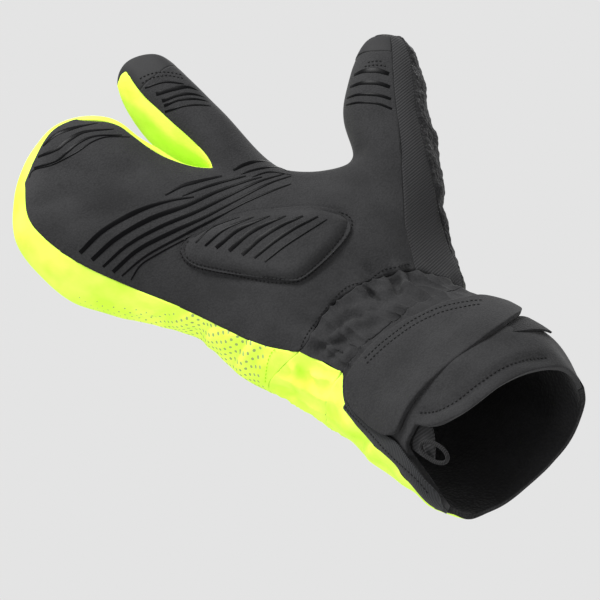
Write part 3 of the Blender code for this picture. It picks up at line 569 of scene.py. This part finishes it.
# %% Where the folds run
FOLDS = [
    # cloth, width and depth in mm, pixels along the fold
    ("palm_shell", 4.5, .55, [(50, 167), (75, 169), (100, 171), (150, 170)]),
    ("palm_shell", 4.5, .60, [(26, 208), (45, 204), (60, 199), (84, 190)]),
    ("palm_shell", 4.5, .50, [(59, 219), (95, 216), (135, 211)]),
    ("palm_shell", 6.0, 1.3, [(350, 158), (360, 151), (368, 145), (376, 139)]),
    ("palm_shell", 9.0, -.8, [(372, 158), (382, 150), (390, 140)]),
    ("palm_shell", 8.0, .70, [(352, 262), (370, 268), (392, 262)]),
    ("back_shell", 3.2, 2.4, [(245, 337), (237, 350), (228, 364), (226, 372)]),
    ("back_shell", 3.0, 1.4, [(262, 346), (252, 360), (246, 374)]),
    ("back_shell", 3.6, 2.6, [(206, 320), (198, 331), (193, 341), (190, 350)]),
    ("back_shell", 3.2, 2.0, [(136, 318), (148, 321), (160, 320), (166, 312)]),
    ("back_shell", 3.0, .80, [(66, 272), (70, 278), (72, 285)]),
    ("back_shell", 2.2, .70, FINGER_SEAM),
    ("wrist_gather_yellow", 2.6, 2.4, [(281, 364), (287, 373), (293, 380)]),
    ("wrist_gather_yellow", 2.6, 2.2, [(266, 386), (282, 391), (300, 396)]),
    ("wrist_gather_yellow", 2.6, 2.2, [(296, 364), (304, 374), (312, 385)]),
    ("wrist_gather_yellow", 3.0, 1.0, [(306, 392), (309, 400), (312, 408)]),
    ("cuff_yellow", 4.0, 2.6, [(350, 455), (360, 442), (370, 432)]),
    ("cuff_yellow", 4.0, 1.2, [(382, 470), (390, 462), (398, 452)]),
    ("cuff_yellow", 4.0, 1.0, [(408, 500), (416, 492), (424, 484)]),
    ("wrist_gather_black", 2.4, 2.0, [(320, 348), (333, 342), (346, 339)]),
    ("wrist_gather_black", 2.4, 1.8, [(325, 334), (338, 327), (349, 318), (368, 312)]),
    ("wrist_gather_black", 2.2, 1.6, [(326, 362), (336, 352), (343, 341)]),
    ("wrist_gather_black", 2.4, 2.2, [(368, 288), (374, 297), (384, 301)]),
    ("wrist_gather_black", 2.2, 2.3, [(392, 276), (397, 286), (398, 295)]),
    ("wrist_gather_black", 2.2, 2.2, [(408, 272), (412, 281), (417, 287)]),
    ("cuff_black", 2.0, 1.0, [(351, 322), (362, 326), (371, 318), (380, 308)]),
    ("cuff_black", 2.4, 1.1, [(344, 345), (350, 352), (352, 366)]),
    ("cuff_black", 2.6, 1.2, [(383, 302), (391, 310), (402, 308)]),
    ("cuff_black", 8.0, -1.8, [(412, 396), (437, 378), (470, 354), (502, 334), (530, 330)]),
    ("cuff_black", 2.2, .90, HEM_ROW),
    ("strap", 8.0, .50, [(372, 400), (400, 372), (436, 346)]),
    ("strap", 6.0, -.4, [(420, 372), (450, 345), (486, 325)]),
]
SEWN_TO = {                                     # the panels that each fold moves
    "palm_shell": [palm],
    "back_shell": [back_of_hand, band_back],
    "wrist_gather_yellow": [band_back, back_of_hand, cuff_back],
    "wrist_gather_black": [band_front, palm, cuff_front, thumb_side],
    "cuff_black": [cuff_front, band_front],
    "cuff_yellow": [cuff_back, band_back],
    "strap": [strap],
}

# %% The padded heel is sewn down round its edge
pad_rim, _ = on_cloth(PAD_EDGE + PAD_TOP, [palm, pad])
fold(pad, pad_rim, 3.2 * MM, 1.2 * MM)
fold(palm, pad_rim, 2.0 * MM, .35 * MM)

# %% Folding every panel
by_name = {ob.name: ob for ob in cloths}
for name, width, depth, pixels in FOLDS:
    spots, _ = on_cloth(pixels, [by_name[name]])
    if len(spots) > 1:
        for folded in SEWN_TO[name]:
            fold(folded, spots, width * MM, depth * MM)
    else:
        print("no cloth under a fold of", name)

rumple(palm, 26 * MM, .9 * MM, 3.1)
rumple(back_of_hand, 20 * MM, 1.3 * MM, 7.7)
print("folds:", len(FOLDS))

# %% [markdown]
# The wrist is drawn in by an elastic. Its cloth stands in many small upright folds,
# which die out within a centimetre of the seams above and below it.

# %% The gathered wrist
GATHER_COUNT = 34                               # folds round the wrist
GATHER_RUN = 14 * MM                            # along a fold before it changes
GATHER_SEED = 1.7


def gather(ob, depth, weight):
    """Folds of an elasticated seam: they run along the wrist and stand close round it."""
    a, b = np.array(CUFF_AXIS[0]), np.array(CUFF_AXIS[1])
    along = (b - a) / np.linalg.norm(b - a)
    side = np.cross(along, (0, 1, 0))
    side /= np.linalg.norm(side)
    co, way = read(ob)
    d = co - a
    height = d @ along
    angle = np.arctan2(d @ np.cross(along, side), d @ side)
    push = []
    for h, t in zip(height / GATHER_RUN, angle):
        bend = 1.3 * noise.noise(Vector((math.cos(t) * 2, math.sin(t) * 2, h * .8 + GATHER_SEED)))
        wave = math.sin(t * GATHER_COUNT / 2 + bend * 2.6)
        strength = .55 + .9 * noise.noise(Vector((math.cos(t) * 3, math.sin(t) * 3, h + GATHER_SEED)))
        push.append((1 - 2 * abs(wave) ** .7) * max(strength, .1))
    write(ob, co + way * (np.array(push) * depth * weight)[:, None])


DRAWN_IN = [
    # the cloth, and the band that it is sewn to
    (band_front, None), (band_back, None), (cuff_front, band_front), (cuff_back, band_back),
    (palm, band_front), (thumb_side, band_front), (back_of_hand, band_back),
]
for gathered, band in DRAWN_IN:
    weight = close_to(gathered, band, 10 * MM) if band else 1.0
    gather(gathered, .9 * MM, weight)
    rumple(gathered, 8 * MM, 1.6 * MM, 1.3, weight)
rumple(cuff_front, 16 * MM, 1.0 * MM, 2.2)
rumple(cuff_back, 18 * MM, 1.8 * MM, 8.4)
rumple(strap, 22 * MM, .5 * MM, 4.6)
rumple(binding, 9 * MM, .4 * MM, 6.2)

# %% [markdown]
# Terry is a towel-like pile. Its loops are far too many to model, so the surface
# itself is raised in small irregular lumps, a few millimetres across.

# %% The pile of the terry
PILE_LUMP, PILE_RISE = 3.4 * MM, .9 * MM
PILE_SWELL_RUN, PILE_SWELL = 9 * MM, 1.6 * MM


def raise_pile(ob):
    """Lumps and slow swells on the outer face; the lining and the rims stay."""
    co, normal = read(ob)
    rise = []
    for p in co:
        near = noise.voronoi(Vector(p) / PILE_LUMP)[0]
        rise.append(PILE_RISE * (1.0 - near[0]) + PILE_SWELL * noise.noise(Vector(p) / PILE_SWELL_RUN))
    outward = np.ones(len(co))
    for face in ob.data.polygons:
        if face.material_index:
            outward[list(face.vertices)] = 0
    write(ob, co + normal * (np.array(rise) * outward)[:, None])


def swell(ob, centre, radius, shift):
    """Moves the cloth round a place; neighbours that share it move alike."""
    co, _ = read(ob)
    apart = np.linalg.norm(co - np.array(centre) * MM, axis=1) / radius
    write(ob, co + np.exp(-apart ** 2)[:, None] * np.array(shift))


SWELLS = [
    # place in mm, radius, shift: the root of the thumb and the root of the index finger
    ((76, 36, 72), 15 * MM, right * 5.5 * MM),
    ((90, 32, 88), 12 * MM, right * 2.0 * MM),
    ((100, 10, 196), 22 * MM, (right * .55 + up * .84) * 3.2 * MM),
]
for swelling in (palm, back_of_hand, thumb_side, thumb_back, band_front, band_back):
    for centre, radius, shift in SWELLS:
        swell(swelling, centre, radius, shift)
raise_pile(thumb_back)

# %% [markdown]
# The reflective dots cover the side of the hand between the curved seam near the
# finger lobe and the wrist. They are full size at the wrist and shrink towards the
# fingers and towards the middle of the back.

# %% Where the dots are printed
DOTS_FROM, DOTS_FULL = 222 * MM, 165 * MM       # heights along the hand
DOTS_SIDE, DOTS_GONE = 10 * MM, 30 * MM         # distances across it
YELLOW_ROW = [(281, 347), (272, 352), (267, 366), (265, 384)]       # the stitches that end them


def paint_dots(ob):
    """Writes print_size, the share of its full size that a dot has at each point."""
    co, _ = read(ob)
    fade = np.clip((DOTS_FROM - co[:, 2]) / (DOTS_FROM - DOTS_FULL), 0, 1)
    sideways = np.clip((DOTS_GONE - co[:, 0]) / (DOTS_GONE - DOTS_SIDE), 0, 1)
    seam, _ = on_cloth([(30, 262)] + FINGER_SEAM, [ob])
    over = np.ones(len(co))
    for i, p in enumerate(co):
        k = np.argmin(np.abs(seam[:, 2] - p[2]))
        if p[2] > seam[:, 2].min() and p[1] < seam[k, 1]:
            over[i] = 0
    row, _ = on_cloth(YELLOW_ROW, [ob])
    along = np.array((CUFF_AXIS[1] - CUFF_AXIS[0]).normalized())
    above = (co @ along) > (row @ along).mean() + 1 * MM
    size = (.35 + .65 * fade) * (fade > 0) * np.sqrt(sideways) * over * above
    layer = ob.data.attributes.new("print_size", "FLOAT", "POINT")
    layer.data.foreach_set("value", size.astype(np.float32))


paint_dots(back_of_hand)
for plain in (band_back, cuff_back):
    plain.data.attributes.new("print_size", "FLOAT", "POINT")

# %% Rim of the yellow cuff: lined at the mouth, in the outer cloth beside the strap
BESIDE_STRAP = [(334, 377), (338, 395), (342, 413)]
BESIDE_REACH = 8 * MM
beside_strap, _ = on_cloth(BESIDE_STRAP, [cuff_back])
for face in cuff_back.data.polygons:
    if face.material_index == RIM:
        if np.linalg.norm(beside_strap - np.array(face.center), axis=1).min() < BESIDE_REACH:
            face.material_index = 0

# %% [markdown]
# The grip lines are ribbons with a flat top and round shoulders. Each lies on the
# cloth along a line of the photograph, has a width at its start, its middle and
# its end, and gets lower towards both tips.

# %% Silicone grip lines
GRIP_RISE = .22 * MM
SECTION = [(-1, -1.5), (-.95, .8), (-.8, 1), (.8, 1), (.95, .8), (1, -1.5)]     # across, height


def ribbons(name, cloth, rows):
    """All grip lines of one place as one piece: rows of widths and pixels."""
    tree = mesh_tree(cloth)
    points, faces = [], []
    for start_width, middle_width, end_width, pixels in rows:
        spots, normals = on_cloth(pixels, cloth)
        if len(spots) < 3:
            print("no cloth under a grip line of", name)
            continue
        run = np.gradient(spots, axis=0)
        base = len(points)
        for i, (p, n, t) in enumerate(zip(spots, normals, run)):
            share = i / (len(spots) - 1)
            width = np.interp(share, (0, .5, 1), (start_width, middle_width, end_width)) * MM / 2
            tip = min(1.0, .35 + 6 * min(share, 1 - share))
            across = Vector(np.cross(n, t)).normalized()
            for offset, height in SECTION:
                spot, lift, _, _ = tree.find_nearest(Vector(p) + across * (offset * width))
                points.append(spot + lift * (height * GRIP_RISE * tip))
        m = len(SECTION)
        for i in range(len(spots) - 1):
            for j in range(m):
                a, b = base + i * m, base + (i + 1) * m
                faces.append([a + j, a + (j + 1) % m, b + (j + 1) % m, b + j])
        faces.append([base + j for j in range(m)][::-1])
        faces.append([base + (len(spots) - 1) * m + j for j in range(m)])
    return solid(name, points, faces, silicone)


def solid(name, points, faces, mat):
    """A closed piece from points and faces, with its faces turned outwards."""
    mesh = bpy.data.meshes.new(name)
    mesh.from_pydata(points, [], faces)
    ob = bpy.data.objects.new(name, mesh)
    bpy.context.scene.collection.objects.link(ob)
    bm = bmesh.new()
    bm.from_mesh(mesh)
    bmesh.ops.recalc_face_normals(bm, faces=bm.faces)
    bm.to_mesh(mesh)
    bm.free()
    mesh.materials.append(mat)
    mesh.shade_smooth()
    mesh.set_sharp_from_angle(angle=math.radians(60))
    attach(ob, "root")
    return ob


PALM_GRIP = [
    # widths in mm: start, middle, end; then the pixels
    (2.2, 2.6, .8, [(80, 253), (104, 230), (138, 211), (168, 201), (194, 197)]),
    (2.2, 2.6, .9, [(92, 260), (117, 238), (150, 219), (187, 205), (216, 192), (244, 182), (262, 177)]),
    (1.4, 2.2, .9, [(103, 267), (128, 245), (160, 227), (197, 211), (228, 196), (258, 182), (284, 174)]),
    (2.0, 2.2, .9, [(113, 272), (138, 250), (170, 233), (206, 216), (238, 199), (268, 184), (291, 176)]),
    (.9, 1.5, .9, [(122, 276), (146, 256), (180, 237), (214, 219), (244, 203), (272, 191), (291, 184)]),
    (.8, .9, .5, [(131, 280), (141, 265), (158, 254), (178, 243), (202, 230)]),
    (1.2, 2.2, 1.0, [(165, 195), (182, 186), (200, 181), (222, 176)]),
    (.8, 1.6, .8, [(182, 196), (206, 187), (226, 181), (246, 176)]),
    (1.6, 2.0, .6, [(233, 170), (246, 164), (260, 161), (276, 163)]),
    (.8, 1.4, .6, [(241, 174), (258, 169), (276, 167), (290, 172)]),
    (.6, 1.1, .5, [(252, 177), (270, 172), (292, 175)]),
]
LOBE_GRIP = [
    (1.2, 2.6, .6, [(43, 146), (57, 134), (77, 127), (98, 123)]),
    (1.4, 2.4, .6, [(38, 157), (57, 149), (67, 141), (84, 132), (114, 129)]),
    (1.0, 1.6, .6, [(34, 168), (56, 161), (67, 152), (80, 142), (96, 136), (122, 135)]),
    (.7, .9, .5, [(29, 178), (34, 170), (54, 164), (77, 152), (92, 142), (107, 137), (130, 137)]),
]
INDEX_GRIP = [
    (1.0, 1.3, .6, [(145, 88), (164, 82), (184, 84)]),
    (2.4, 2.4, .8, [(156, 94), (173, 89), (187, 87), (198, 90)]),
    (2.0, 1.8, .7, [(162, 101), (178, 95), (192, 94), (205, 97)]),
    (1.6, 1.5, .6, [(164, 106), (178, 100), (194, 99), (208, 101)]),
    (1.2, 1.0, .5, [(165, 112), (184, 106), (200, 105), (211, 106)]),
]
THUMB_GRIP = [
    (1.6, 2.8, 2.0, [(354, 75), (364, 71), (377, 70.5), (389, 74)]),
    (1.4, 2.2, 1.8, [(350, 87), (362, 83), (377, 83), (390, 87)]),
    (1.0, 1.5, 1.4, [(347, 98), (359, 94.5), (377, 95), (391, 99)]),
    (.9, 1.1, 1.1, [(346, 105), (359, 102.5), (377, 103.5), (392, 109)]),
]
PAD_GRIP = [
    (.9, 1.0, .5, [(195.5, 243), (212, 228), (240, 217)]),
    (1.2, 1.5, .7, [(205, 246), (225, 229), (254, 217)]),
    (2.0, 2.2, .8, [(216, 248), (236, 231), (252, 223), (270, 216)]),
    (2.2, 2.4, .9, [(229, 251), (248, 234), (266, 224), (286, 216)]),
    (2.2, 2.4, 1.2, [(242, 255), (262, 237), (282, 225), (303, 216)]),
    (1.6, 2.0, 1.1, [(254, 258), (275, 241), (295, 228), (318, 216.5)]),
    (1.0, 1.2, .6, [(264.5, 262), (285, 246), (305, 233), (327, 219.5)]),
]
ribbons("palm_grip", [palm, index_touch], PALM_GRIP)
ribbons("lobe_grip", [palm], LOBE_GRIP)
ribbons("index_grip", [palm, index_touch], INDEX_GRIP)
ribbons("thumb_grip", [palm, thumb_touch], THUMB_GRIP)
ribbons("pad_grip", [pad, palm], PAD_GRIP)
print("grip lines:", sum(map(len, (PALM_GRIP, LOBE_GRIP, INDEX_GRIP, THUMB_GRIP, PAD_GRIP))))

# %% [markdown]
# A stitch is a short length of thread that dives into the cloth at both ends. One
# is modelled, a slim ball stretched along its row, and it is copied along each
# row, turned to the row and set a little into the cloth.

# %% One stitch
STITCH_PITCH, STITCH_LENGTH, THREAD = 2.0 * MM, 1.35 * MM, .70 * MM
bpy.ops.mesh.primitive_uv_sphere_add(segments=6, ring_count=5, radius=.5)
pattern = bpy.context.object
stitch_points = np.array([v.co[:] for v in pattern.data.vertices])
stitch_faces = [list(p.vertices) for p in pattern.data.polygons]
bpy.data.objects.remove(pattern, do_unlink=True)


def sew(name, rows, mat):
    """Stitches along lines on the cloth; a row is spots and normals."""
    points, faces = [], []
    for spots, normals in rows:
        length = np.concatenate([[0], np.cumsum(np.linalg.norm(np.diff(spots, axis=0), axis=1))])
        for s in np.arange(STITCH_PITCH / 2, length[-1] - STITCH_PITCH / 2, STITCH_PITCH):
            at = np.array([np.interp(s, length, spots[:, k]) for k in range(3)])
            ahead = np.array([np.interp(s + STITCH_PITCH / 3, length, spots[:, k]) for k in range(3)]) - at
            n = np.array([np.interp(s, length, normals[:, k]) for k in range(3)])
            t = ahead / max(np.linalg.norm(ahead), 1e-9)
            n = n - t * (n @ t)
            n /= max(np.linalg.norm(n), 1e-9)
            b = np.cross(n, t)
            start = len(points)
            points += list(at + stitch_points[:, :1] * STITCH_LENGTH * t
                           + stitch_points[:, 1:2] * THREAD * b
                           + (stitch_points[:, 2:] * .8 + .25) * THREAD * n)
            faces += [[start + i for i in f] for f in stitch_faces]
    return solid(name, points, faces, mat)


def seam_rows(cloth, *pixel_rows):
    """Rows of pixels as rows on the cloth."""
    return [on_cloth(pixels, cloth) for pixels in pixel_rows]


# %% Rows of stitches
PAD_OUTER = PAD_EDGE + [(338, 212)]
PAD_INNER = [(189, 240), (184.8, 248), (186, 255.5), (196, 263.5), (226, 270), (260, 277), (286, 279.6),
             (300.5, 276.5), (313.5, 266.5), (331.5, 249), (345.5, 231), (348.3, 223)]
WRIST_ROW = [(299, 352), (306, 336), (322.5, 312.5), (341.5, 291), (353.5, 284.5), (368, 281), (382, 270.5),
             (399, 266.5), (411, 263)]
STRAP_ROWS = ([(364, 359), (385, 340), (413, 320), (441, 307), (470, 301), (486, 300)],
              [(366, 364), (387, 344.5), (414, 325), (442, 312), (471, 305.5), (484, 304)])
INDEX_ROWS = ([(139, 79), (150, 74), (165, 72), (183, 75)],
              [(141, 83.5), (152, 78), (167, 75.5), (184, 78.5)])
THUMB_ROWS = ([(367, 62.5), (377, 61), (386, 62)], [(364, 66.5), (377, 65), (388, 66.5)])
TAPE_ROW = [(343, 404), (352, 415), (368, 431), (389, 454), (416, 479), (430, 496)]

sew("pad_stitches", seam_rows([palm, pad], PAD_OUTER, PAD_INNER), black_thread_and_hole_shade)
sew("wrist_stitches", seam_rows([palm, thumb_side], WRIST_ROW), black_thread_and_hole_shade)
sew("strap_stitches", seam_rows([strap], *STRAP_ROWS), black_thread_and_hole_shade)
sew("hem_stitches", seam_rows([cuff_front], HEM_ROW), black_thread_and_hole_shade)
sew("index_stitches", seam_rows([palm, index_touch], *INDEX_ROWS), black_thread_and_hole_shade)
sew("thumb_stitches", seam_rows([palm, thumb_touch], *THUMB_ROWS), black_thread_and_hole_shade)
sew("tape_stitches", seam_rows([binding], TAPE_ROW), black_thread_and_hole_shade)
sew("yellow_stitches", seam_rows([band_back, back_of_hand], YELLOW_ROW), yellow_thread)

# %% [markdown]
# Last, the floor gets its paper finish.

# %% Floor finish and the end
paper, paper_surface = new_material("matt_paper_grey", PAPER)
paper_noise = add(paper, "ShaderNodeTexNoise", {
    "Vector": add(paper, "ShaderNodeTexCoord").outputs["Object"], "Scale": 300.0})
shade(paper, paper_surface, {
    "Base Color": linear("#E6E6E6"), "Roughness": .9,
    "Normal": add(paper, "ShaderNodeBump", {
        "Height": paper_noise.outputs["Fac"], "Distance": .02 * MM}).outputs["Normal"]})
floor.data.materials.append(paper)
